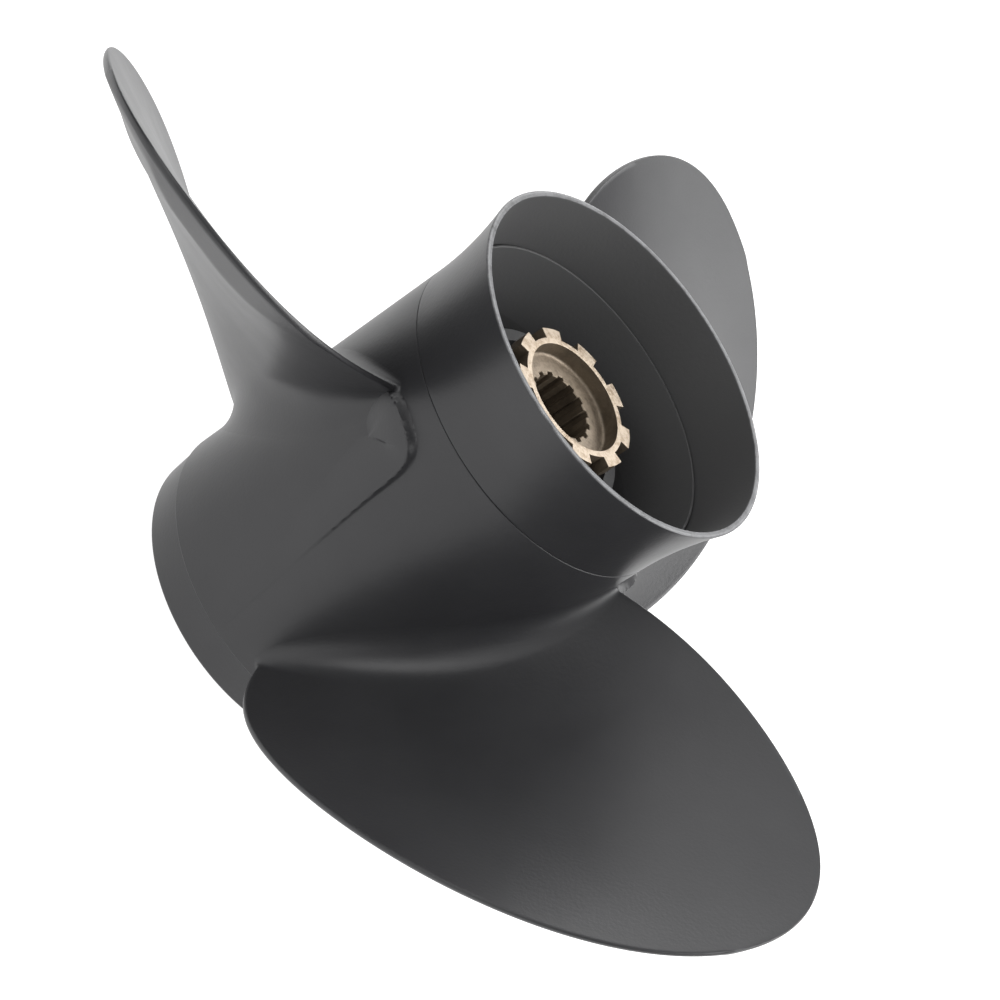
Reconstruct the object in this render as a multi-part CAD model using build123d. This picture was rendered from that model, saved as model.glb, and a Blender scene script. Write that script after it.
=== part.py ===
"""Three-bladed outboard propeller with a through-hub exhaust and a rubber-damped drive hub.

Millimetres. The shaft axis is Z, the origin is the centre of the barrel's forward rim, and +Z points aft.
"""

from build123d import *
import math
import os

os.makedirs("parts", exist_ok=True)

# barrel
barrel_radius = 54.2        # outside, where the blades stand
barrel_radius_step = 54.0   # outside, just behind the forward step
step_z = 13.2               # the barrel steps up behind the forward lip
step_height = 0.6
lip_radius = 52.1           # outside, at the forward rim
barrel_bore = 48.5          # inside
skirt_bore = 49.5           # counterbore that goes over the gearcase outlet
skirt_depth = 11.0
shoulder_z = 119.5          # aft shoulder, where the diffuser ring starts
lip_round = 1.2

# spigot that carries the diffuser ring
spigot_radius = 52.2
spigot_end_z = 132.6
spigot_tip_wall = 0.8

# diffuser ring
ring_end_z = 153.3
ring_radius = 59.0          # outside, at the aft rim
ring_wall = 2.0
flare_power = 1.9           # how late the ring turns outward
flare_points = 7

# inner hub and the ribs that carry it in the barrel
inner_hub_radius = 30.8
inner_hub_bore = 26.6
inner_hub_front_z = 15.0
inner_hub_end_z = 119.5
front_wall = 8.0
front_hole_radius = 17.4
rib_count = 3
rib_thickness = 6.0
rib_front_z = 17.0
rib_end_z = 104.0
rib_angle = 60.0            # the ribs stand between the blades

# blades
blade_count = 3
tip_radius = 174.6
pitch = 461.0
tip_roundness = 2.54
rake_line = (64.7, 71.8, 87.1, 104.5)        # axial place of the blade line, root to tip, equal steps
skew_line = (-1.0, 5.1, 14.5, 38.4)          # mid-chord ahead of the blade line, along the helix
half_chord_line = (55.9, 77.3, 91.6, 101.2)  # half chord before the tip rounds it off
forward_line = (8.6, 6.4, 5.9, 2.0)          # forward face, from the blade surface at mid-chord
aft_line = (3.5, 2.8, 2.0, 0.9)              # aft face, the same
leading_forward = 1.3                        # at the leading edge
leading_aft = 0.9
trailing_aft = 0.44                          # at the trailing edge
trailing_thickness = 2.1
trailing_swell = 4.1                         # the forward face is this much fuller behind the bevel
swell_span = (0.30, 0.65, 0.78, 1.02)        # where along the blade the swell starts, is full, and ends
bevel_slope = 0.30
leading_lift = 1.9                           # camber: the leading half bends aft
edge_radius = 1.1
fillet_radius = 12.0
fillet_sink = 0.8           # keeps the fillet's foot from meeting the barrel at a knife edge
blade_stations = (50.0, 52.2, 54.2, 55.2, 57.0, 60.0, 64.5, 72.0, 86.0, 104.0, 122.0, 140.0, 154.0,
                  164.0, 170.5, 173.5, 174.4)

# bronze drive hub
hub_front_z = 12.0
hub_radius = 17.0
cup_radius = 20.4
cup_start_z = 117.0
hub_end_z = 132.0
recess_radius = 18.45
shelf_z = 126.4
shelf_round = 1.2
tab_count = 9
tab_radius = 23.8
tab_width_deg = 20.0
tab_length = 6.0
tab_angle = -7.4
spline_teeth = 15
spline_minor = 10.9
spline_major = 12.1
spline_angle = 0.4
pilot_radius = 12.4
pilot_length = 16.0
mouth_chamfer = 0.8

# rubber damper
damper_front_z = 23.5
damper_end_z = 114.0
turning_gap = 0.05          # all round the damper, inside and outside


def through(values, share):
    """Smooth curve through values spaced evenly from share 0 to share 1."""
    last = len(values) - 1
    total = 0.0
    for i, value in enumerate(values):
        for j in range(last + 1):
            if j != i:
                value *= (share * last - j) / (i - j)
        total += value
    return total


def turned(points):
    """Solid of revolution about Z from (radius, z) points."""
    outline = Polyline(*[(r, 0, z) for r, z in points], close=True)
    return revolve(make_face(outline), Axis.Z)


def tube(outer, inner, low, high):
    height = high - low
    body = Cylinder(outer, height, align=(Align.CENTER, Align.CENTER, Align.MIN))
    hole = Cylinder(inner, height, align=(Align.CENTER, Align.CENTER, Align.MIN))
    return Pos(0, 0, low) * (body - hole)


def smooth_step(low, high, x):
    t = min(max((x - low) / (high - low), 0.0), 1.0)
    return t * t * (3 - 2 * t)


def blade_faces(share, u, half):
    """Aft and forward offsets of the blade's two faces at station u of a chord of the given half length."""
    forward = through(forward_line, share)
    aft = through(aft_line, share)
    if u <= 0:
        fullness = 1 - u * u
        aft_face = leading_aft + (aft - leading_aft) * fullness
        forward_face = leading_forward + (forward - leading_forward) * fullness
    else:
        aft_face = trailing_aft + (aft - trailing_aft) * (1 - u * u)
        swell = smooth_step(*swell_span[:2], share) - smooth_step(*swell_span[2:], share)
        edge = trailing_thickness - trailing_aft + trailing_swell * swell
        forward_face = edge + max(forward - edge, 0.0) * (1 - u ** 4)
        bevel = trailing_thickness - trailing_aft + bevel_slope * (1 - u) * half
        forward_face = min(forward_face, bevel)
    return aft_face, -forward_face


def blade_section(r):
    """Forward-face and aft-face points of the blade where it crosses the cylinder of radius r."""
    share = (r - barrel_radius) / (tip_radius - barrel_radius)
    helix = math.atan2(pitch, 2 * math.pi * r)
    outward = max(share, 0.0)
    half = through(half_chord_line, share) * math.sqrt(1 - outward ** tip_roundness)
    middle = through(skew_line, share)
    height = max(r - barrel_radius, 0.0) + fillet_sink
    foot = 0.0
    if height < fillet_radius:
        foot = fillet_radius - math.sqrt(fillet_radius ** 2 - (fillet_radius - height) ** 2)

    def place(along, across):
        turn = (along * math.cos(helix) - across * math.sin(helix)) / r
        rise = along * math.sin(helix) + across * math.cos(helix)
        return Vector(r * math.cos(turn), r * math.sin(turn), through(rake_line, share) + rise)

    near_edge = [0.0, 0.35 * edge_radius, edge_radius, 3 * edge_radius]
    inboard = [near_edge[-1] + (half - near_edge[-1]) * k / 6 for k in range(1, 7)]
    from_edge = near_edge + inboard
    stations = [d - half for d in from_edge] + [half - d for d in reversed(from_edge[:-1])]
    forward_face = []
    aft_face = []
    for along in stations:
        u = along / half
        aft, forward = blade_faces(outward, u, half)
        inside = min(half - abs(along), edge_radius) / edge_radius
        rounding = math.sqrt(max(1 - (1 - inside) ** 2, 0.0))
        middle_aft, middle_forward = blade_faces(outward, 1.0 if u > 0 else -1.0, half)
        centre = (middle_aft + middle_forward) / 2
        spread = foot * math.sqrt(max(1 - u * u, 0.0))
        lift = leading_lift * 4 * outward * (1 - outward) * ((1 - u) / 2) ** 2
        forward_face.append(place(middle + along, lift + centre + (forward - centre) * rounding - spread))
        aft_face.append(place(middle + along, lift + centre + (aft - centre) * rounding + spread))
    return forward_face, aft_face


def flattened(faces, angle):
    """Moves a section's points inward onto the plane that faces the given angle."""
    out = Vector(math.cos(angle), math.sin(angle), 0)
    depth = min(p.dot(out) for face in faces for p in face)
    return [[p + out * (depth - p.dot(out)) for p in face] for face in faces]


def blade():
    sections = [blade_section(r) for r in blade_stations]
    tip_helix = math.atan2(pitch, 2 * math.pi * tip_radius)
    tip_angle = skew_line[-1] * math.cos(tip_helix) / tip_radius
    sections[0] = flattened(sections[0], 0.0)
    sections[-1] = flattened(sections[-1], tip_angle)
    outlines = []
    for forward_face, aft_face in sections:
        front = Edge.make_spline(forward_face)
        back = Edge.make_spline(list(reversed(aft_face)))
        outlines.append(Wire([front, back]))
    return Solid.make_loft(outlines)


def ring_outside(z):
    share = (z - shoulder_z) / (ring_end_z - shoulder_z)
    return barrel_radius + (ring_radius - barrel_radius) * share ** flare_power


# propeller casting: barrel, inner hub, ribs and blades in one piece
barrel_profile = [
    (skirt_bore, 0),
    (lip_radius, 0),
    (barrel_radius_step - step_height, step_z),
    (barrel_radius_step, step_z + step_height),
    (barrel_radius, shoulder_z),
    (spigot_radius, shoulder_z),
    (spigot_radius, spigot_end_z),
    (spigot_radius - spigot_tip_wall, spigot_end_z),
    (barrel_bore, shoulder_z - 12),
    (barrel_bore, skirt_depth),
    (skirt_bore, skirt_depth),
]
barrel = turned(barrel_profile)
forward_rim = barrel.edges().filter_by(GeomType.CIRCLE).group_by(Axis.Z)[0].sort_by(SortBy.RADIUS)[-1:]
barrel = fillet(forward_rim, lip_round)

inner_hub = tube(inner_hub_radius, inner_hub_bore, inner_hub_front_z, inner_hub_end_z)
inner_hub += tube(inner_hub_bore + 1, front_hole_radius, inner_hub_front_z, inner_hub_front_z + front_wall)
hub_ends = inner_hub.edges().filter_by(GeomType.CIRCLE).group_by(Axis.Z)
inner_hub = chamfer(hub_ends[-1].sort_by(SortBy.RADIUS)[-1:], 0.8)

casting = barrel + inner_hub
rib_reach = barrel_bore - inner_hub_radius + 3
for k in range(rib_count):
    rib = Box(rib_reach, rib_thickness, rib_end_z - rib_front_z, align=(Align.MIN, Align.CENTER, Align.MIN))
    rib_turn = Rot(0, 0, rib_angle + 360 / rib_count * k)
    casting += rib_turn * Pos(inner_hub_radius - 1.5, 0, rib_front_z) * rib

one_blade = blade() - Cylinder(barrel_bore + 2, 4 * tip_radius)
for k in range(blade_count):
    casting += Rot(0, 0, 360 / blade_count * k) * one_blade

# diffuser ring: flared ring pressed over the spigot
flare_z = [shoulder_z + (ring_end_z - shoulder_z) * k / (flare_points - 1) for k in range(flare_points)]
outside = Edge.make_spline([Vector(ring_outside(z), 0, z) for z in flare_z])
inside_z = [spigot_end_z + (ring_end_z - spigot_end_z) * k / (flare_points - 1) for k in range(flare_points)]
inside = Edge.make_spline([Vector(max(ring_outside(z) - ring_wall, spigot_radius), 0, z) for z in inside_z])
ring_face = make_face([
    outside,
    Line((ring_radius, 0, ring_end_z), (ring_radius - ring_wall, 0, ring_end_z)),
    inside,
    Line(inside @ 0, (spigot_radius, 0, shoulder_z)),
    Line((spigot_radius, 0, shoulder_z), (barrel_radius, 0, shoulder_z)),
])
diffuser_ring = revolve(ring_face, Axis.Z)
aft_rims = diffuser_ring.edges().filter_by(GeomType.CIRCLE).group_by(Axis.Z)[-1]
diffuser_ring = fillet(aft_rims, 0.45 * ring_wall)

# drive hub: bronze sleeve, splined bore, aft cup and castellations
drive_hub = tube(hub_radius, spline_minor, hub_front_z, hub_end_z)
drive_hub += tube(cup_radius, hub_radius - 1, cup_start_z, hub_end_z)
hub_circles = drive_hub.edges().filter_by(GeomType.CIRCLE)
corner = hub_circles.filter_by(lambda e: abs(e.center().Z - cup_start_z) < 0.01)
drive_hub = fillet(corner.sort_by(SortBy.RADIUS)[:1], 2.0)
tab_blank = tube(tab_radius, cup_radius - 1, hub_end_z - tab_length, hub_end_z)
half_tab = math.radians(tab_width_deg / 2)
reach = 2 * tab_radius
wedge_face = make_face(Polyline(
    (0, 0), (reach * math.cos(half_tab), -reach * math.sin(half_tab)),
    (reach * math.cos(half_tab), reach * math.sin(half_tab)), close=True))
wedge = Pos(0, 0, hub_end_z - tab_length) * extrude(wedge_face, tab_length)
tab = tab_blank & wedge
for k in range(tab_count):
    drive_hub += Rot(0, 0, tab_angle + 360 / tab_count * k) * tab
recess = Cylinder(recess_radius, hub_end_z - shelf_z, align=(Align.CENTER, Align.CENTER, Align.MIN))
recess = fillet(recess.edges().filter_by(GeomType.CIRCLE).sort_by(Axis.Z)[:1], shelf_round)
drive_hub -= Pos(0, 0, shelf_z) * recess
space_angle = 360 / spline_teeth
root_half = math.radians(space_angle * 0.21)
mouth_half = math.radians(space_angle * 0.30)
space_face = make_face(Polyline(
    ((spline_minor - 1) * math.cos(mouth_half), -(spline_minor - 1) * math.sin(mouth_half)),
    (spline_major * math.cos(root_half), -spline_major * math.sin(root_half)),
    (spline_major * math.cos(root_half), spline_major * math.sin(root_half)),
    ((spline_minor - 1) * math.cos(mouth_half), (spline_minor - 1) * math.sin(mouth_half)), close=True))
space = Pos(0, 0, hub_front_z) * extrude(space_face, shelf_z - hub_front_z)
drive_hub -= [Rot(0, 0, spline_angle + space_angle * k) * space for k in range(spline_teeth)]
pilot = Cylinder(pilot_radius, pilot_length, align=(Align.CENTER, Align.CENTER, Align.MIN))
drive_hub -= Pos(0, 0, hub_front_z) * pilot
hub_circles = drive_hub.edges().filter_by(GeomType.CIRCLE)
front_mouth = hub_circles.filter_by(lambda e: abs(e.center().Z - hub_front_z) < 0.01)
drive_hub = chamfer(front_mouth, mouth_chamfer)

# damper: rubber bush between the drive hub and the inner hub
damper = tube(inner_hub_bore - turning_gap, hub_radius + turning_gap, damper_front_z, damper_end_z)
damper = chamfer(damper.edges().filter_by(GeomType.CIRCLE), 1.0)

for name, shape in {
    "propeller_casting": casting,
    "diffuser_ring": diffuser_ring,
    "drive_hub": drive_hub,
    "damper_bush": damper,
}.items():
    print(name, len(shape.solids()), round(shape.volume), shape.is_valid)
    export_step(shape, f"parts/{name}.step")
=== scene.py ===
import math

import bpy
import bmesh
from mathutils import Matrix, Vector, noise


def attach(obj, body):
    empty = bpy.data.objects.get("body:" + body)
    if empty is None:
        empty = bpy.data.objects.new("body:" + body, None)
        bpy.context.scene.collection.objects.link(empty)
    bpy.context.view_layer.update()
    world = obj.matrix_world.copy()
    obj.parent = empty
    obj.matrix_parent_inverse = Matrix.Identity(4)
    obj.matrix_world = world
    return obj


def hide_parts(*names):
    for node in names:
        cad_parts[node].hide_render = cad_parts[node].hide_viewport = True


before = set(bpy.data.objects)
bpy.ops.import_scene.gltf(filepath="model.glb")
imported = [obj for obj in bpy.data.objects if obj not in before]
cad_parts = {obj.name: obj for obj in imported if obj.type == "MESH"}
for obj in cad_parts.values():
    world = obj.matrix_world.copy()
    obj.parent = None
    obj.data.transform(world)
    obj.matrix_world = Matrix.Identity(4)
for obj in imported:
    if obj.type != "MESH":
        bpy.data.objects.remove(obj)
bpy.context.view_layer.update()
bpy.context.scene.view_settings.view_transform = "Standard"
print("frame loaded:", ", ".join(sorted(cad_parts)))

mm = 0.001


def link(obj):
    bpy.context.scene.collection.objects.link(obj)
    return obj


def newMesh(name, verts, faces):
    mesh = bpy.data.meshes.new(name)
    mesh.from_pydata([Vector(v) * mm for v in verts], [], faces)
    mesh.validate()
    mesh.polygons.foreach_set("use_smooth", [True] * len(mesh.polygons))
    return mesh


def ringFaces(rows, count, closed=True, flip=False):
    # quads between rows of count points each
    faces = []
    last = count if closed else count - 1
    for row in range(rows - 1):
        for k in range(last):
            a = row * count + k
            b = row * count + (k + 1) % count
            quad = (a, b, b + count, a + count)
            faces.append(quad[::-1] if flip else quad)
    return faces


def turn(profile, steps, name):
    # closed profile of (radius, z) points turned about Z; run anticlockwise, its faces look outward
    verts = []
    faces = []
    count = len(profile)
    for s in range(steps):
        a = 2 * math.pi * s / steps
        for r, z in profile:
            verts.append((r * math.cos(a), r * math.sin(a), z))
    for s in range(steps):
        t = (s + 1) % steps
        for k in range(count):
            n = (k + 1) % count
            faces.append((s * count + k, t * count + k, t * count + n, s * count + n))
    return newMesh(name, verts, faces)


def joined(name, meshes):
    bm = bmesh.new()
    for mesh in meshes:
        bm.from_mesh(mesh)
    out = bpy.data.meshes.new(name)
    bm.to_mesh(out)
    bm.free()
    return out


def cleaned(mesh, apart=0.0):
    # joins points closer than apart and turns every face outward
    bm = bmesh.new()
    bm.from_mesh(mesh)
    if apart:
        bmesh.ops.remove_doubles(bm, verts=bm.verts, dist=apart)
    bmesh.ops.recalc_face_normals(bm, faces=bm.faces)
    bm.to_mesh(mesh)
    bm.free()
    return mesh


def sharpen(mesh, angle):
    # marks edges sharper than angle, so flat faces stay flat beside rounded ones
    bm = bmesh.new()
    bm.from_mesh(mesh)
    for edge in bm.edges:
        if len(edge.link_faces) == 2 and edge.calc_face_angle(0.0) > math.radians(angle):
            edge.smooth = False
    bm.to_mesh(mesh)
    bm.free()


def rounded(points, radius, steps=4):
    # a profile with its corners rounded; radius is one number or one per point
    out = []
    n = len(points)
    radii = radius if isinstance(radius, (list, tuple)) else [radius] * n
    for i, (point, r) in enumerate(zip(points, radii)):
        here = Vector(point)
        before = Vector(points[i - 1]) - here
        after = Vector(points[(i + 1) % n]) - here
        if r <= 0 or before.length < 1e-6 or after.length < 1e-6:
            out.append(tuple(here))
            continue
        half = before.angle(after) / 2
        if half > math.radians(87):
            out.append(tuple(here))
            continue
        reach = min(r / math.tan(half), before.length * 0.49, after.length * 0.49)
        a = here + before.normalized() * reach
        b = here + after.normalized() * reach
        for k in range(steps + 1):
            t = k / steps
            out.append(tuple(a * (1 - t) ** 2 + here * 2 * t * (1 - t) + b * t ** 2))
    return out


def through(values, share):
    # smooth curve through values evenly spaced from share 0 to 1
    last = len(values) - 1
    total = 0.0
    for i, value in enumerate(values):
        for j in range(last + 1):
            if j != i:
                value *= (share * last - j) / (i - j)
        total += value
    return total


def smoothStep(low, high, x):
    # 0 at low and 1 at high, either way round
    t = min(max((x - low) / (high - low), 0.0), 1.0)
    return t * t * (3 - 2 * t)


shot = {
    "aim": (-0.0146, -0.001, 0.0864),
    "distance": 1.109,
    "azimuth": 158.6,
    "elevation": 31.2,
    "roll": -56.45,
    "lens": 130.26,
    "sensor": 36,
    "clip": (0.05, 20),
}


def lookFrom(azimuth, elevation):
    a, e = math.radians(azimuth), math.radians(elevation)
    return Vector((math.sin(a) * math.cos(e), -math.cos(a) * math.cos(e), math.sin(e)))


def makeCamera(shot):
    back = lookFrom(shot["azimuth"], shot["elevation"])
    side = Vector((0, 0, 1)).cross(back).normalized()
    top = back.cross(side)
    roll = math.radians(shot["roll"])
    up = top * math.cos(roll) + side * math.sin(roll)
    right = up.cross(back)
    data = bpy.data.cameras.new("shotCamera")
    data.lens = shot["lens"]
    data.sensor_width = shot["sensor"]
    data.clip_start, data.clip_end = shot["clip"]
    cam = link(bpy.data.objects.new("shotCamera", data))
    facing = Matrix((right, up, back)).transposed().to_4x4()
    cam.matrix_world = Matrix.Translation(Vector(shot["aim"]) + back * shot["distance"]) @ facing
    bpy.context.scene.camera = cam
    return right, up, back


camRight, camUp, camBack = makeCamera(shot)
print("camera set")


studio = {
    "world": (0.03, 0.03, 0.0306),
    "floorHalf": 6.0,
    "floorZ": -0.0005,
    "floorGlow": 1.0,
    "floorColor": 0.25,
    "floorRough": 0.9,
    "middle": (0, 0, 0.08),               # the panels stand round this point
    "panelSize": 1.1,
    "panelDistance": 1.9,
    # name: (right, up, toward camera) direction, watts
    "panels": {
        "behindHigh": ((0.68, 0.56, -0.47), 14.9),
        "backHigh": ((0.20, 0.80, -0.50), 8.5),
        "overhead": ((0.30, 0.90, 0.10), 6.4),
        "rightLow": ((0.85, -0.45, 0.00), 6.4),
        "frontHigh": ((0.30, 0.60, 0.75), 4.3),
        "rightHigh": ((0.60, 0.70, 0.40), 3.6),
        "frontLeft": ((-0.25, 0.35, 0.90), 10.7),
        "front": ((0.20, 0.00, 1.00), 4.1),
        "sideRight": ((0.95, -0.20, 0.20), 28.2),
        "sideBehind": ((0.95, 0.20, -0.10), 14.9),
        "lowRight": ((0.80, -0.30, 0.60), 5.5),
    },
}


def makeFloor(studio):
    half, z = studio["floorHalf"], studio["floorZ"]
    mesh = bpy.data.meshes.new("floor")
    corners = [(-half, -half, z), (half, -half, z), (half, half, z), (-half, half, z)]
    mesh.from_pydata(corners, [], [(0, 1, 2, 3)])
    floor = link(bpy.data.objects.new("floor", mesh))
    mat = bpy.data.materials.new("paleFloor")
    mat.use_nodes = True
    shader = mat.node_tree.nodes["Principled BSDF"]
    c = studio["floorColor"]
    shader.inputs["Base Color"].default_value = (c, c, c, 1)
    shader.inputs["Roughness"].default_value = studio["floorRough"]
    shader.inputs["Emission Color"].default_value = (1, 1, 1, 1)
    shader.inputs["Emission Strength"].default_value = studio["floorGlow"]
    mesh.materials.append(mat)


def makeLights(studio):
    world = bpy.data.worlds.new("studio")
    bpy.context.scene.world = world
    world.use_nodes = True
    world.node_tree.nodes["Background"].inputs["Color"].default_value = (*studio["world"], 1)
    for name, (way, watts) in studio["panels"].items():
        data = bpy.data.lights.new(name, "AREA")
        data.shape = "SQUARE"
        data.size, data.energy = studio["panelSize"], watts
        lamp = link(bpy.data.objects.new(name, data))
        out = (camRight * way[0] + camUp * way[1] + camBack * way[2]).normalized()
        lamp.location = Vector(studio["middle"]) + out * studio["panelDistance"]
        lamp.rotation_mode = "QUATERNION"
        lamp.rotation_quaternion = out.to_track_quat("Z", "Y")


makeFloor(studio)
makeLights(studio)
print("studio set")


def nodeKit(mat):
    mat.use_nodes = True
    tree = mat.node_tree
    shader = tree.nodes["Principled BSDF"]

    def add(kind, **values):
        node = tree.nodes.new(kind)
        for key, value in values.items():
            if key in node.inputs:
                node.inputs[key].default_value = value
            else:
                setattr(node, key, value)
        return node

    def wire(a, out, b, into):
        tree.links.new(a.outputs[out], b.inputs[into])

    return shader, add, wire


def ramp(node, stops):
    while len(node.color_ramp.elements) > 1:
        node.color_ramp.elements.remove(node.color_ramp.elements[-1])
    first = node.color_ramp.elements[0]
    first.position, first.color = stops[0][0], (*stops[0][1], 1)
    for place, colour in stops[1:]:
        node.color_ramp.elements.new(place).color = (*colour, 1)


def setEnds(node, side, ends):
    # low and high end of a map range, side is "From" or "To"
    node.inputs[side + " Min"].default_value, node.inputs[side + " Max"].default_value = ends


satinPaint = {
    "dark": (0.020, 0.020, 0.022),
    "light": (0.030, 0.030, 0.032),
    "rough": (0.34, 0.44),
    "cloudScale": 14.0,
    "inside": (0.060, 0.060, 0.061),      # lighter, duller paint in the bore and the bell
    "insideRough": 0.6,
    "boreRadius": 0.0510,                 # paint nearer the axis than this is inside
    "bellRadius": 0.0540,                 # the same in the bell, at bellZ
    "bellZ": 0.133,
    "bellGrowth": 0.197,                  # metres of radius a metre up the bell
    "rim": (0.135, 0.137, 0.142),         # painted highlight on the aft rim's flat face, for the light it reflects, broken into patches like rubbed-thin paint
    "rimZ": (0.15285, 0.15315),
    "rimPatches": (0.30, 0.55),
    "rimScale": 220.0,
    "rubScale": 45.0,
    "peelScale": 130.0,
    "peelShare": 0.5,
    "grain": 900.0,
    "grainHeight": 0.10,
    "grainDepth": 0.0004,
    "specular": 0.5,
}


def paintMaterial(name, paint):
    mat = bpy.data.materials.new(name)
    shader, add, wire = nodeKit(mat)
    place = add("ShaderNodeTexCoord")
    cloud = add("ShaderNodeTexNoise", Scale=paint["cloudScale"], Detail=4.0, Roughness=0.6)
    wire(place, "Object", cloud, "Vector")
    tint = add("ShaderNodeValToRGB")
    ramp(tint, [(0.3, paint["dark"]), (0.7, paint["light"])])
    wire(cloud, "Fac", tint, "Fac")
    spot = add("ShaderNodeSeparateXYZ")
    wire(place, "Object", spot, 0)
    # the aft rim's flat face is painted a lighter grey in noise patches: a painted highlight for the
    # light that face reflects, mixed with rubbed paint
    rimFaceBand = add("ShaderNodeMapRange")
    setEnds(rimFaceBand, "From", paint["rimZ"])
    wire(spot, "Z", rimFaceBand, "Value")
    rimPatchNoise = add("ShaderNodeTexNoise", Scale=paint["rimScale"], Detail=5.0, Roughness=0.7)
    wire(place, "Object", rimPatchNoise, "Vector")
    patches = add("ShaderNodeMapRange")
    setEnds(patches, "From", paint["rimPatches"])
    wire(rimPatchNoise, "Fac", patches, "Value")
    rimHighlightAndWear = add("ShaderNodeMath", operation="MULTIPLY")
    wire(rimFaceBand, "Result", rimHighlightAndWear, 0)
    wire(patches, "Result", rimHighlightAndWear, 1)
    flat = add("ShaderNodeCombineXYZ")
    wire(spot, "X", flat, "X")
    wire(spot, "Y", flat, "Y")
    radius = add("ShaderNodeVectorMath", operation="LENGTH")
    wire(flat, "Vector", radius, 0)
    flare = add("ShaderNodeMath", operation="MULTIPLY_ADD")
    flare.inputs[1].default_value = paint["bellGrowth"]
    flare.inputs[2].default_value = paint["bellRadius"] - paint["bellGrowth"] * paint["bellZ"]
    wire(spot, "Z", flare, 0)
    limit = add("ShaderNodeMath", operation="MAXIMUM")
    limit.inputs[1].default_value = paint["boreRadius"]
    wire(flare, "Value", limit, 0)
    inside = add("ShaderNodeMath", operation="LESS_THAN")
    wire(radius, "Value", inside, 0)
    wire(limit, "Value", inside, 1)
    dull = add("ShaderNodeMixRGB")
    dull.inputs[2].default_value = (*paint["inside"], 1)
    wire(inside, "Value", dull, 0)
    wire(tint, "Color", dull, 1)
    coat = add("ShaderNodeMixRGB")
    coat.inputs[2].default_value = (*paint["rim"], 1)
    wire(rimHighlightAndWear, "Value", coat, 0)
    wire(dull, "Color", coat, 1)
    wire(coat, "Color", shader, "Base Color")
    rub = add("ShaderNodeTexNoise", Scale=paint["rubScale"], Detail=6.0, Roughness=0.65)
    wire(place, "Object", rub, "Vector")
    gloss = add("ShaderNodeMapRange")
    setEnds(gloss, "To", paint["rough"])
    wire(rub, "Fac", gloss, "Value")
    matt = add("ShaderNodeMix")
    wire(inside, "Value", matt, "Factor")
    wire(gloss, "Result", matt, "A")
    matt.inputs["B"].default_value = paint["insideRough"]
    wire(matt, "Result", shader, "Roughness")
    grain = add("ShaderNodeTexNoise", Scale=paint["grain"], Detail=2.0, Roughness=0.5)
    wire(place, "Object", grain, "Vector")
    peel = add("ShaderNodeTexNoise", Scale=paint["peelScale"], Detail=1.0)
    wire(place, "Object", peel, "Vector")
    both = add("ShaderNodeMath", operation="MULTIPLY_ADD")
    both.inputs[1].default_value = paint["peelShare"]
    wire(peel, "Fac", both, 0)
    wire(grain, "Fac", both, 2)
    bump = add("ShaderNodeBump", Strength=paint["grainHeight"], Distance=paint["grainDepth"])
    wire(both, "Value", bump, "Height")
    wire(bump, "Normal", shader, "Normal")
    shader.inputs["Specular IOR Level"].default_value = paint["specular"]
    return mat


bronzeFinish = {
    "face": (0.50, 0.42, 0.33),           # blasted faces that point aft
    "faceWarm": (0.40, 0.31, 0.22),
    "shelf": (0.27, 0.22, 0.165),         # as-cast floor of the cup
    "side": (0.150, 0.118, 0.082),        # painted shade on the sides and bore
    "sideDark": (0.085, 0.066, 0.046),
    "topZ": 0.1312,                       # aft faces above this are pale, those below are shelf
    "aftFacing": (0.35, 0.9),             # how squarely a face looks aft before it counts as a face
    "paleScale": 420.0,
    "sideShadeMottleScale": 120.0,
    "speckle": 0.55,
    "grit": (0.45, 0.42, 0.38),
    "depth": 0.0003,
    "rough": (0.42, 0.62),
    "metal": 0.55,
    "lumps": 900.0,
    "height": 0.55,
}


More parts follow.
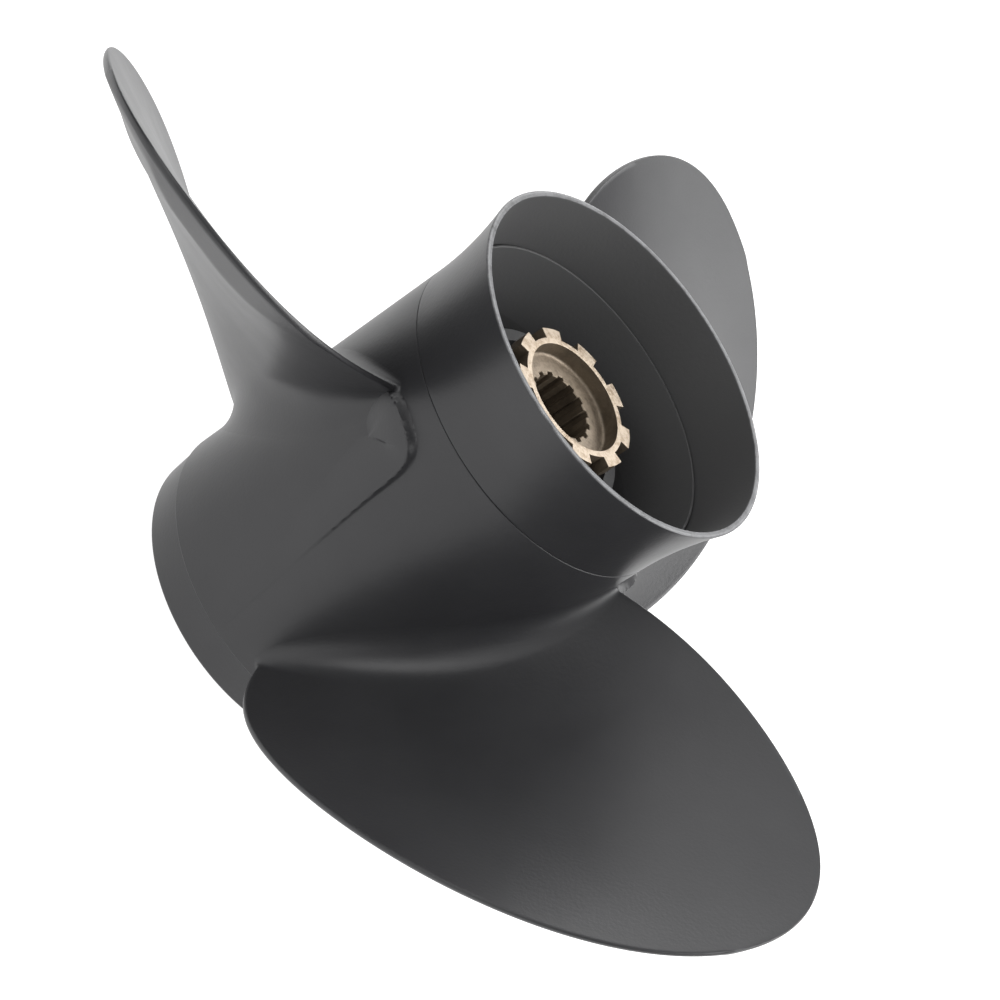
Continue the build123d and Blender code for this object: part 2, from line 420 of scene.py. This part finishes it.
def bronzeMaterial(name, bronze):
    mat = bpy.data.materials.new(name)
    shader, add, wire = nodeKit(mat)
    place = add("ShaderNodeTexCoord")
    cloud = add("ShaderNodeTexNoise", Scale=bronze["paleScale"], Detail=6.0, Roughness=0.7)
    wire(place, "Object", cloud, "Vector")
    pale = add("ShaderNodeValToRGB")
    ramp(pale, [(0.36, bronze["faceWarm"]), (0.56, bronze["face"])])
    wire(cloud, "Fac", pale, "Fac")
    # mottled dark brown: the painted shade given to faces that do not look aft
    sideShadeMottle = add("ShaderNodeTexNoise", Scale=bronze["sideShadeMottleScale"], Detail=5.0, Roughness=0.65)
    wire(place, "Object", sideShadeMottle, "Vector")
    brown = add("ShaderNodeValToRGB")
    ramp(brown, [(0.35, bronze["sideDark"]), (0.65, bronze["side"])])
    wire(sideShadeMottle, "Fac", brown, "Fac")
    spot = add("ShaderNodeSeparateXYZ")
    wire(place, "Object", spot, 0)
    raised = add("ShaderNodeMath", operation="GREATER_THAN")
    raised.inputs[1].default_value = bronze["topZ"]
    wire(spot, "Z", raised, 0)
    flat = add("ShaderNodeMixRGB")
    flat.inputs[1].default_value = (*bronze["shelf"], 1)
    wire(raised, "Value", flat, 0)
    wire(pale, "Color", flat, 2)
    speckle = add("ShaderNodeMixRGB", blend_type="MULTIPLY")
    speckle.inputs[0].default_value = bronze["speckle"]
    grit = add("ShaderNodeValToRGB")
    ramp(grit, [(0.35, bronze["grit"]), (0.55, (1, 1, 1))])
    wire(cloud, "Fac", grit, "Fac")
    wire(flat, "Color", speckle, 1)
    wire(grit, "Color", speckle, 2)
    # faces that look aft keep the pale bronze, every other face gets the dark brown: painted shade on
    # the sides, the cup wall and the bore
    way = add("ShaderNodeSeparateXYZ")
    wire(place, "Normal", way, 0)
    aft = add("ShaderNodeMapRange", interpolation_type="SMOOTHSTEP")
    setEnds(aft, "From", bronze["aftFacing"])
    wire(way, "Z", aft, "Value")
    both = add("ShaderNodeMixRGB")
    wire(aft, "Result", both, 0)
    wire(brown, "Color", both, 1)
    wire(speckle, "Color", both, 2)
    wire(both, "Color", shader, "Base Color")
    gloss = add("ShaderNodeMapRange")
    setEnds(gloss, "To", bronze["rough"])
    wire(cloud, "Fac", gloss, "Value")
    wire(gloss, "Result", shader, "Roughness")
    lumps = add("ShaderNodeTexNoise", Scale=bronze["lumps"], Detail=4.0, Roughness=0.6)
    wire(place, "Object", lumps, "Vector")
    bump = add("ShaderNodeBump", Strength=bronze["height"], Distance=bronze["depth"])
    wire(lumps, "Fac", bump, "Height")
    wire(bump, "Normal", shader, "Normal")
    shader.inputs["Metallic"].default_value = bronze["metal"]
    return mat


rubberFinish = {
    "color": (0.018, 0.017, 0.016),
    "rough": 0.75,
    "grainScale": 500.0,
    "grainHeight": 0.3,
    "grainDepth": 0.0003,
}


def rubberMaterial(name, rubber):
    mat = bpy.data.materials.new(name)
    shader, add, wire = nodeKit(mat)
    place = add("ShaderNodeTexCoord")
    grain = add("ShaderNodeTexNoise", Scale=rubber["grainScale"], Detail=3.0)
    wire(place, "Object", grain, "Vector")
    tint = add("ShaderNodeValToRGB")
    ramp(tint, [(0.3, rubber["color"]), (0.8, tuple(2 * c for c in rubber["color"]))])
    wire(grain, "Fac", tint, "Fac")
    wire(tint, "Color", shader, "Base Color")
    bump = add("ShaderNodeBump", Strength=rubber["grainHeight"], Distance=rubber["grainDepth"])
    wire(grain, "Fac", bump, "Height")
    wire(bump, "Normal", shader, "Normal")
    shader.inputs["Roughness"].default_value = rubber["rough"]
    return mat


paintSkin = paintMaterial("satinBlackPaint", satinPaint)
bronzeSkin = bronzeMaterial("castBronze", bronzeFinish)
rubberSkin = rubberMaterial("damperRubber", rubberFinish)
print("materials made")


barrel = {
    "bore": 48.5,
    "skirtBore": 49.5,
    "skirtDepth": 11.0,
    "lipRadius": 52.1,
    "lipEnd": 53.4,
    "stepZ": 13.2,            # the barrel steps up here
    "stepHeight": 0.6,
    "stepRadius": 54.0,
    "radius": 54.2,
    "shoulderZ": 119.5,
    "spigotRadius": 52.2,
    "spigotEndZ": 132.6,
    "spigotTipWall": 0.8,
    "boreTaper": 12.0,        # the bore opens toward the spigot's end over this length and the spigot
    "play": 0.02,             # keeps the spigot off the ring's bore
    "rounds": (0.4, 1.2, 0.5, 0.3, 0.35, 0.2, 0.25, 0.25, 6.0, 0.4, 0.4),
    "steps": 360,
}

innerHub = {
    "radius": 30.8,
    "bore": 26.6,
    "frontZ": 15.0,
    "endZ": 119.5,
    "frontWall": 8.0,
    "frontHole": 17.4,
    "rounds": (0.5, 2.5, 0.35, 0.25, 1.0, 0.5),
    "steps": 180,
    "ribs": 3,
    "ribThickness": 6.0,
    "ribFillet": 5.0,
    "ribFrontZ": 17.0,
    "ribEndZ": 104.0,
    "ribAngle": 60.0,
    "ribOverlap": 0.6,        # the ribs run this far into the walls they join
    "ribSteps": 16,
    "ribEndRound": ((0.0, 1.6), (0.6, 0.5), (2.0, 0.0)),   # distance from the end, taken off each side
}

blade = {
    "count": 3,
    "tipRadius": 174.6,
    "pitch": 461.0,
    "roundness": 2.54,
    # these five lines run from root to tip in equal steps
    "rake": (64.7, 71.8, 87.1, 104.5),
    "skew": (-1.0, 5.1, 14.5, 38.4),
    "halfChord": (55.9, 77.3, 91.6, 101.2),
    "forward": (8.6, 6.4, 5.9, 2.0),      # faces at mid-chord, from the chord surface
    "aft": (3.5, 2.8, 2.0, 0.9),
    "leadingForward": 1.3,
    "leadingAft": 0.9,
    "trailingAft": 0.44,
    "trailingThickness": 2.1,
    "swell": 4.1,                         # extra thickness behind the trailing bevel
    "swellSpan": (0.30, 0.65, 0.78, 1.02),
    "bevelSlope": 0.30,
    "bevelCrisp": 0.15,                   # softness of the bevel's upper line where it is deep
    "bevelSoft": 2.5,                     # added softness where there is no bevel
    "bevelDeep": 1.4,
    "lift": 1.9,                          # camber of the leading half
    "leadingRound": 1.1,
    "trailingRound": 0.4,
    "faceFillet": 11.5,
    "edgeFillet": 2.6,
    "leadStations": 24,
    "bodyStations": 14,
    "bevelStations": 9,
    "edgeStations": 5,
    "rows": 100,
    "filletRows": 14,
    "skirt": ((-0.6, 3.0), (-0.1, 1.5)),  # depth under the barrel's skin and reach of the first two rows
    "rowCrowding": 2.0,                   # rows are closer together toward the tip
    "leadCrowding": 1.35,
    "crease": 35,                         # degrees, edges sharper than this stay sharp
}


def barrelOutside(z):
    b = barrel
    if z < b["stepZ"]:
        return b["lipRadius"] + (b["lipEnd"] - b["lipRadius"]) * max(z, 0) / b["stepZ"]
    if z < b["stepZ"] + b["stepHeight"]:
        return b["lipEnd"] + (b["stepRadius"] - b["lipEnd"]) * (z - b["stepZ"]) / b["stepHeight"]
    share = (z - b["stepZ"]) / (b["shoulderZ"] - b["stepZ"])
    return b["stepRadius"] + (b["radius"] - b["stepRadius"]) * share


def trailingForward(u, share, half, blade):
    # how full the swell is, then the depths of the plain forward face and of the trailing bevel
    start, whole, waning, gone = blade["swellSpan"]
    swell = smoothStep(start, whole, share) - smoothStep(waning, gone, share)
    thin = blade["trailingThickness"] - blade["trailingAft"]
    edge = thin + blade["swell"] * swell
    plain = edge + max(through(blade["forward"], share) - edge, 0.0) * (1 - u ** 4)
    return swell, plain, thin + blade["bevelSlope"] * (1 - u) * half


def bladeFaces(u, share, half, blade):
    # distance of the aft and forward faces from the chord surface at station u
    forward, aft = through(blade["forward"], share), through(blade["aft"], share)
    if u <= 0:
        full = 1 - u * u
        return (blade["leadingAft"] + (aft - blade["leadingAft"]) * full,
                -blade["leadingForward"] - (forward - blade["leadingForward"]) * full)
    edgeAft = blade["trailingAft"]
    swell, plain, bevel = trailingForward(u, share, half, blade)
    soft = blade["bevelCrisp"] + blade["bevelSoft"] * (1 - min(swell * blade["bevelDeep"], 1.0))
    near = max(soft - abs(plain - bevel), 0.0) / soft
    return edgeAft + (aft - edgeAft) * (1 - u * u), -(min(plain, bevel) - near * near * soft / 4)


def bevelStation(share, half, blade):
    # station where the trailing bevel meets the forward face, by halving
    low, high = 0.15, 0.97
    for _ in range(24):
        u = (low + high) / 2
        _swell, plain, bevel = trailingForward(u, share, half, blade)
        if plain > bevel:
            high = u
        else:
            low = u
    return (low + high) / 2


def bladeMesh(blade):
    root, tip = barrel["radius"], blade["tipRadius"]
    span = tip - root

    def halfAt(r):
        share = (r - root) / span
        out = min(max(share, 0.0), 1.0)
        return through(blade["halfChord"], share) * math.sqrt(max(1 - out ** blade["roundness"], 0.0))

    def stationsAt(r):
        # stations from the leading edge to the trailing edge, with one on the bevel's upper line
        share = min(max((r - root) / span, 0.0), 1.0)
        half = max(halfAt(r), 0.05)
        lead, body = blade["leadStations"], blade["bodyStations"]
        bevel, edge = blade["bevelStations"], blade["edgeStations"]
        crowding = blade["leadCrowding"]
        stations = [-math.cos(math.pi / 2 * (i / lead) ** crowding) for i in range(lead)]
        knee = bevelStation(share, half, blade)
        last = max(1 - blade["trailingRound"] / half, knee + 0.02)
        last = min(last, 0.995)
        stations += [knee * i / body for i in range(body)]
        stations += [knee + (last - knee) * i / bevel for i in range(bevel)]
        stations += [last + (1 - last) * math.sin(math.pi / 2 * i / edge) for i in range(edge + 1)]
        return [(u, -1) for u in stations] + [(u, 1) for u in reversed(stations[1:-1])]

    def shape(u, side, r):
        # along the chord and through the thickness at station u
        share = (r - root) / span
        out = min(max(share, 0.0), 1.0)
        full = through(blade["halfChord"], share)
        close = math.sqrt(max(1 - out ** blade["roundness"], 0.0))
        along = u * full * close
        v = u * close
        inside = max(1 - out ** blade["roundness"] - v * v, 0.0)
        slopeOut = blade["roundness"] * out ** (blade["roundness"] - 1) / span
        slopeAlong = 2 * v / full
        depth = inside / max(math.hypot(slopeOut, slopeAlong), 1e-6)
        e = blade["trailingRound"]
        e += (blade["leadingRound"] - blade["trailingRound"]) * smoothStep(0.2, -0.4, u)
        near = 1 - min(depth, e) / e
        rounding = math.sqrt(max(1 - near * near, 0.0))
        aft, forward = bladeFaces(u, out, full * close, blade)
        endAft, endForward = bladeFaces(1.0 if u > 0 else -1.0, out, full * close, blade)
        centre = (endAft + endForward) / 2 * abs(u) + (aft + forward) / 2 * (1 - abs(u))
        skin = aft if side > 0 else forward
        lift = blade["lift"] * 4 * out * (1 - out) * ((1 - u) / 2) ** 2
        return along, lift + centre + (skin - centre) * rounding

    def place(along, across, r):
        share = (r - root) / span
        helix = math.atan2(blade["pitch"], 2 * math.pi * r)
        a = along + through(blade["skew"], share)
        turnBy = (a * math.cos(helix) - across * math.sin(helix)) / r
        z = through(blade["rake"], share) + a * math.sin(helix) + across * math.cos(helix)
        return turnBy, z

    def outwardAt(points):
        # outward directions of the closed loop in the chord and thickness plane
        out = []
        n = len(points)
        for i in range(n):
            a, b = points[i - 1], points[(i + 1) % n]
            d = Vector((b[0] - a[0], b[1] - a[1]))
            out.append(Vector((d.y, -d.x)).normalized() if d.length > 1e-9 else Vector((0, 0)))
        return out

    rows = []
    loop = stationsAt(root)
    base = [shape(u, s, root) for u, s in loop]
    outward = outwardAt(base)
    fillets = []
    for u, s in loop:
        # the aft fillet dies away early towards the trailing edge
        fade = 1.2 if s > 0 and u > 0 else 2.5
        full = (1 - abs(u) ** fade) ** 0.8
        fillets.append(blade["edgeFillet"] + (blade["faceFillet"] - blade["edgeFillet"]) * full)
    for j in range(-2, blade["filletRows"]):
        swing = math.pi / 2 * max(j, 0) / blade["filletRows"]
        sink, out = blade["skirt"][j + 2] if j < 0 else (0.0, 0.0)
        row = []
        for k, (way, fillet) in enumerate(zip(outward, fillets)):
            h = fillet * (1 - math.cos(swing)) + sink
            push = fillet * (1 - math.sin(swing)) + out
            u, s = stationsAt(root + max(h, 0))[k]
            along, thick = shape(u, s, root + max(h, 0))
            turnBy, z = place(along + way.x * push, thick + way.y * push, root + h)
            r = barrelOutside(z) + h
            row.append((r * math.cos(turnBy), r * math.sin(turnBy), z))
        rows.append(row)
    for j in range(blade["rows"] + 1):
        g = 1 - (1 - j / blade["rows"]) ** blade["rowCrowding"]
        row = []
        for k, fillet in enumerate(fillets):
            low = root + fillet
            r = low + (tip - low) * g
            u, s = stationsAt(r)[k]
            along, thick = shape(u, s, r)
            turnBy, z = place(along, thick, r)
            lift = 0.0
            if z < barrel["shoulderZ"]:
                lift = (barrelOutside(z) - root) * (1 - smoothStep(0, 0.1, g))
            row.append(((r + lift) * math.cos(turnBy), (r + lift) * math.sin(turnBy), z))
        rows.append(row)
    count = len(loop)
    verts = [p for row in rows for p in row]
    faces = ringFaces(len(rows), count)
    return cleaned(newMesh("blade", verts, faces), apart=0.02 * mm)


# raised land on the barrel beside each blade's trailing end, left by the mould parting
rootLand = {
    # degrees from the blade line, z, height, width of the sloping edge, reach of the land
    "edge": (
        (33.4, 107.2, 3.0, 1.5, 14.0), (40.0, 109.6, 3.2, 1.5, 18.0), (46.0, 109.5, 3.0, 1.5, 20.0),
        (51.0, 108.8, 2.8, 1.6, 22.0), (54.8, 107.2, 2.5, 1.7, 22.0), (57.4, 103.8, 2.0, 1.8, 22.0),
        (58.7, 98.5, 1.5, 1.6, 20.0), (59.4, 87.0, 1.1, 1.3, 18.0), (60.4, 77.0, 0.85, 1.1, 16.0),
        (61.4, 67.0, 0.6, 0.9, 14.0), (62.5, 57.0, 0.3, 0.7, 12.0),
        (63.8, 48.0, 0.06, 0.7, 10.0),
        (65.0, 38.0, 0.18, 0.7, 8.0), (66.0, 28.0, 0.2, 0.7, 8.0), (67.2, 19.0, 0.1, 0.7, 6.0),
    ),
    "trailingEnd": (34.5, 108.8),         # where the blade's trailing edge meets the barrel
    "angles": (6.0, 72.0),
    "heights": (16.0, 113.5),
    "step": 0.45,
    "sink": 0.04,
    "cuts": 3,                            # rounds of corner cutting on the edge line
    "fadeAft": (1.5, -0.8),               # the land ends between these distances aft of the blade
    "edgePower": 1.5,
}


def landMesh(land):
    perDegree = math.radians(1) * barrel["radius"]
    points = [(a * perDegree, z, h, w, reach) for a, z, h, w, reach in land["edge"]]
    for _ in range(land["cuts"]):
        # cuts the corners off the line of the edge until it is smooth
        cut = [points[0]]
        for a, b in zip(points, points[1:]):
            cut.append(tuple(0.75 * p + 0.25 * q for p, q in zip(a, b)))
            cut.append(tuple(0.25 * p + 0.75 * q for p, q in zip(a, b)))
        points = cut + [points[-1]]
    edge = [(Vector((x, z)), h, w, reach) for x, z, h, w, reach in points]
    endSpot = Vector((land["trailingEnd"][0] * perDegree, land["trailingEnd"][1]))
    helix = math.atan2(blade["pitch"], 2 * math.pi * barrel["radius"])
    (firstAngle, lastAngle), (firstZ, lastZ) = land["angles"], land["heights"]
    wide = round((lastAngle - firstAngle) * perDegree / land["step"])
    tall = round((lastZ - firstZ) / land["step"])
    verts = []
    for i in range(wide + 1):
        angle = firstAngle + (lastAngle - firstAngle) * i / wide
        for j in range(tall + 1):
            z = firstZ + (lastZ - firstZ) * j / tall
            spot = Vector((angle * perDegree, z))
            best = None
            for (a, h0, w0, r0), (b, h1, w1, r1) in zip(edge, edge[1:]):
                run = b - a
                t = min(max((spot - a).dot(run) / run.length_squared, 0.0), 1.0)
                gap = spot - (a + run * t)
                if best is None or gap.length < best[0]:
                    side = run.y * gap.x - run.x * gap.y
                    sizes = (h0 + (h1 - h0) * t, w0 + (w1 - w0) * t, r0 + (r1 - r0) * t)
                    best = (gap.length, side < 0, *sizes)
            far, outside, height, width, reach = best
            off = spot - endSpot
            height *= smoothStep(*land["fadeAft"], off.y * math.cos(helix) - off.x * math.sin(helix))
            if outside:
                rise = height * max(1 - far / width, 0.0) ** land["edgePower"]
            else:
                rise = height * (1 - smoothStep(0.0, reach, far))
            r = barrelOutside(z) + rise - land["sink"]
            a = math.radians(angle)
            verts.append((r * math.cos(a), r * math.sin(a), z))
    faces = ringFaces(wide + 1, tall + 1, closed=False, flip=True)
    return newMesh("rootLand", verts, faces)


def turnedCopy(mesh, angle):
    copy = mesh.copy()
    copy.transform(Matrix.Rotation(math.radians(angle), 4, "Z"))
    return copy


def barrelMesh(b):
    spigot = b["spigotRadius"] - b["play"]
    profile = [
        (b["skirtBore"], 0.0), (b["lipRadius"], 0.0),
        (b["lipEnd"], b["stepZ"]), (b["stepRadius"], b["stepZ"] + b["stepHeight"]),
        (b["radius"], b["shoulderZ"]), (spigot, b["shoulderZ"]), (spigot, b["spigotEndZ"]),
        (b["spigotRadius"] - b["spigotTipWall"], b["spigotEndZ"]),
        (b["bore"], b["shoulderZ"] - b["boreTaper"]),
        (b["bore"], b["skirtDepth"]), (b["skirtBore"], b["skirtDepth"]),
    ]
    return turn(rounded(profile, b["rounds"]), b["steps"], "barrel")


def innerHubMesh(h):
    wallZ = h["frontZ"] + h["frontWall"]
    profile = [
        (h["frontHole"], h["frontZ"]), (h["radius"], h["frontZ"]), (h["radius"], h["endZ"]),
        (h["bore"], h["endZ"]), (h["bore"], wallZ), (h["frontHole"], wallZ),
    ]
    return turn(rounded(profile, h["rounds"]), h["steps"], "innerHub")


def ribMesh(h):
    # a web that widens into fillets where it meets the inner hub and the barrel
    low, high = h["radius"] - h["ribOverlap"], barrel["bore"] + h["ribOverlap"]
    outline = []
    for k in range(h["ribSteps"] + 1):
        r = low + (high - low) * k / h["ribSteps"]
        gap = min(r - low, high - r)
        f = h["ribFillet"]
        grow = f - math.sqrt(f * f - (f - gap) ** 2) if gap < f else 0.0
        outline.append((r, h["ribThickness"] / 2 + grow))
    loop = outline + [(x, -y) for x, y in reversed(outline)]
    heights = [(h["ribFrontZ"] + off, tuck) for off, tuck in h["ribEndRound"]]
    heights += [(h["ribEndZ"] - off, tuck) for off, tuck in reversed(h["ribEndRound"])]
    verts = []
    for z, tuck in heights:
        for x, y in loop:
            verts.append((x, (abs(y) - tuck) * (1 if y > 0 else -1), z))
    n = len(loop)
    faces = ringFaces(len(heights), n)
    faces.append(tuple(range(n))[::-1])
    faces.append(tuple(range((len(heights) - 1) * n, len(heights) * n)))
    return cleaned(newMesh("rib", verts, faces))


def makeCasting():
    apart = 360 / blade["count"]
    one = bladeMesh(blade)
    parts = [turnedCopy(one, apart * k) for k in range(blade["count"])]
    parts.append(barrelMesh(barrel))
    parts.append(innerHubMesh(innerHub))
    land = landMesh(rootLand)
    parts += [turnedCopy(land, apart * k) for k in range(blade["count"])]
    rib = ribMesh(innerHub)
    ribGap = 360 / innerHub["ribs"]
    parts += [turnedCopy(rib, innerHub["ribAngle"] + ribGap * k) for k in range(innerHub["ribs"])]
    mesh = joined("castingSkin", parts)
    sharpen(mesh, blade["crease"])
    mesh.materials.append(paintSkin)
    obj = link(bpy.data.objects.new("castingSkin", mesh))
    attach(obj, "propeller")
    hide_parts("propeller_casting")


makeCasting()
print("casting made")


diffuser = {
    "endZ": 153.3,
    "radius": 59.0,
    "wall": 2.0,
    "power": 1.9,             # how late the ring turns outward
    "joint": 0.12,            # gap left between the barrel's shoulder and the ring
    "jointRound": 0.3,
    "boreRound": 0.1,
    "rimRound": (0.5, 0.3),
    "points": 24,
    "steps": 360,
    "crease": 40,
}


def makeDiffuser(d):
    low, high = barrel["shoulderZ"] + d["joint"], d["endZ"]

    def outside(z):
        share = max(z - barrel["shoulderZ"], 0) / (high - barrel["shoulderZ"])
        return barrel["radius"] + (d["radius"] - barrel["radius"]) * share ** d["power"]

    n = d["points"]
    outer = [(outside(low + (high - low) * k / n), low + (high - low) * k / n) for k in range(n + 1)]
    bottom = barrel["spigotEndZ"]
    inner = []
    for k in range(n + 1):
        z = bottom + (high - bottom) * k / n
        inner.append((max(outside(z) - d["wall"], barrel["spigotRadius"]), z))
    points = outer + inner[::-1] + [(barrel["spigotRadius"], low)]
    plain = [0] * (n - 1)
    radii = [d["jointRound"], *plain, *d["rimRound"], *plain, 0, d["boreRound"]]
    mesh = turn(rounded(points, radii, 5), d["steps"], "diffuserSkin")
    sharpen(mesh, d["crease"])
    mesh.materials.append(paintSkin)
    obj = link(bpy.data.objects.new("diffuserSkin", mesh))
    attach(obj, "propeller")
    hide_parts("diffuser_ring")


makeDiffuser(diffuser)
print("diffuser ring made")


driveHub = {
    "frontZ": 12.0,
    "endZ": 132.0,
    "radius": 17.0,
    "cupRadius": 20.4,
    "cupStartZ": 117.0,
    "cupFillet": 2.0,
    "recessRadius": 18.45,
    "shelfZ": 126.4,
    "shelfRound": 1.2,
    "tabs": 9,
    "tabRadius": 23.8,
    "tabWidth": 20.0,
    "tabLength": 6.0,
    "tabAngle": -7.4,
    "teeth": 15,
    "minor": 10.9,
    "major": 12.1,
    "rootHalf": 5.0,          # half a tooth space at its root, degrees
    "mouthHalf": 6.2,
    "splineAngle": 0.4,
    "pilotRadius": 12.4,
    "pilotLength": 16.0,
    "mouthChamfer": 0.8,
    "edgeRound": 0.22,
    "seam": 0.002,            # points closer than this are joined
    "crease": 38,
    "castRough": 0.09,        # height of the as-cast lumps on the shelf
    "step": 0.75,             # degrees between columns
}


def driveHubMesh(d):
    # columns round the hub; a tab side is two columns at one angle, one with the tab and one without
    columns = []
    half = d["tabWidth"] / 2
    gap = 360 / d["tabs"]
    count = round(360 / d["step"])
    sides = [d["tabAngle"] + gap * k + way * half for k in range(d["tabs"]) for way in (-1, 1)]

    def inTab(angle):
        off = (angle - d["tabAngle"] + gap / 2) % gap - gap / 2
        return abs(off) < half

    for k in range(count):
        angle = 360 * k / count
        if min(abs((angle - side + 180) % 360 - 180) for side in sides) > 0.3:
            columns.append((angle, inTab(angle)))
    for k, side in enumerate(sides):
        rising = k % 2 == 0
        columns.append((side % 360, not rising))
        columns.append((side % 360 + 1e-7, rising))
    columns.sort()

    def splineRadius(angle):
        pitch = 360 / d["teeth"]
        off = abs((angle - d["splineAngle"] + pitch / 2) % pitch - pitch / 2)
        depth = 1 - smoothStep(d["rootHalf"] - 0.5, d["mouthHalf"] + 0.5, off)
        return d["minor"] + (d["major"] - d["minor"]) * depth

    tabLow = d["endZ"] - d["tabLength"]
    r, cup, out = d["radius"], d["cupRadius"], d["tabRadius"]
    recess, shelf, bend = d["recessRadius"], d["shelfZ"], d["shelfRound"]
    pilotEnd = d["frontZ"] + d["pilotLength"]
    chamfer = d["mouthChamfer"]

    rows = [("plain", r, d["frontZ"]), ("plain", r, d["cupStartZ"] - d["cupFillet"])]
    for k in range(1, 6):
        swing = math.pi / 2 * k / 5
        f = d["cupFillet"]
        rows.append(("plain", r + f * (1 - math.cos(swing)), d["cupStartZ"] - f + f * math.sin(swing)))
    rows += [("plain", cup, d["cupStartZ"]), ("plain", cup, tabLow)]
    rows += [("tab", out, tabLow), ("tab", out, d["endZ"])]
    rows += [("plain", cup, d["endZ"]), ("plain", recess, d["endZ"])]
    rows += [("plain", recess, shelf + bend)]
    for k in range(1, 5):
        swing = math.pi / 2 * k / 4
        inwardBy, upBy = bend * (1 - math.cos(swing)), bend * (1 - math.sin(swing))
        rows.append(("plain", recess - inwardBy, shelf + upBy))
    inward = 8
    for k in range(1, inward):
        rows.append(("shelf", k / inward, shelf))
    rows += [("spline", 0.25, shelf), ("spline", 0.0, shelf - 0.25)]
    rows += [("spline", 0.0, pilotEnd), ("plain", d["pilotRadius"], pilotEnd)]
    rows += [("plain", d["pilotRadius"], d["frontZ"] + chamfer)]
    rows += [("plain", d["pilotRadius"] + chamfer, d["frontZ"])]
    verts = []
    for kind, size, z in rows:
        for angle, tab in columns:
            a = math.radians(angle)
            rise = 0.0
            if kind == "tab":
                radius = size if tab else cup
            elif kind == "spline":
                radius = splineRadius(angle) + size
            elif kind == "shelf":
                start = recess - bend
                radius = start + (splineRadius(angle) + 0.6 - start) * size
                spot = Vector((radius * math.cos(a), radius * math.sin(a), 0))
                rise = d["castRough"] * noise.fractal(spot * 1.3, 1.0, 2.0, 3) * math.sin(math.pi * size)
            else:
                radius = size
            verts.append((radius * math.cos(a), radius * math.sin(a), z + rise))
    n = len(columns)
    faces = ringFaces(len(rows), n)
    last = (len(rows) - 1) * n
    for k in range(n):
        faces.append((last + k, last + (k + 1) % n, (k + 1) % n, k))
    mesh = newMesh("driveHub", verts, faces)
    bm = bmesh.new()
    bm.from_mesh(mesh)
    bmesh.ops.remove_doubles(bm, verts=bm.verts, dist=d["seam"] * mm)
    bmesh.ops.dissolve_degenerate(bm, edges=bm.edges, dist=d["seam"] * mm)
    bmesh.ops.recalc_face_normals(bm, faces=bm.faces)
    # rounds the cast corners of the cup and the tabs
    low, nearest = (tabLow - 0.1) * mm, (recess - 0.1) * mm
    corners = []
    for edge in bm.edges:
        if len(edge.link_faces) != 2 or edge.calc_face_angle(0.0) <= math.radians(60):
            continue
        if min(v.co.z for v in edge.verts) <= low:
            continue
        if max(v.co.xy.length for v in edge.verts) > nearest:
            corners.append(edge)
    bmesh.ops.bevel(bm, geom=corners, offset=d["edgeRound"] * mm, segments=2, affect="EDGES",
                    profile=0.6, clamp_overlap=True)
    bm.to_mesh(mesh)
    bm.free()
    return mesh


def makeDriveHub(d):
    mesh = driveHubMesh(d)
    sharpen(mesh, d["crease"])
    mesh.materials.append(bronzeSkin)
    obj = link(bpy.data.objects.new("driveHubSkin", mesh))
    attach(obj, "drive_hub")
    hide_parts("drive_hub")


makeDriveHub(driveHub)
print("drive hub made")


damper = {
    "frontZ": 23.5,
    "endZ": 114.0,
    "inside": 17.05,
    "outside": 26.55,
    "endRound": 1.0,
    "dish": 1.8,              # depth of the moulded hollow in each end
    "dishHalf": 1.5,
    "dishRound": 1.5,
    "steps": 180,
    "crease": 50,
}


def makeDamper(d):
    low, high = d["frontZ"], d["endZ"]
    middle = (d["inside"] + d["outside"]) / 2
    near, far = middle - d["dishHalf"], middle + d["dishHalf"]
    profile = [
        (d["inside"], low), (near, low + d["dish"]), (far, low + d["dish"]), (d["outside"], low),
        (d["outside"], high), (far, high - d["dish"]), (near, high - d["dish"]), (d["inside"], high),
    ]
    radii = [d["endRound"], d["dishRound"], d["dishRound"], d["endRound"]] * 2
    mesh = turn(rounded(profile, radii), d["steps"], "damperSkin")
    sharpen(mesh, d["crease"])
    mesh.materials.append(rubberSkin)
    obj = link(bpy.data.objects.new("damperSkin", mesh))
    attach(obj, "damper")
    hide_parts("damper_bush")


makeDamper(damper)
print("damper made")
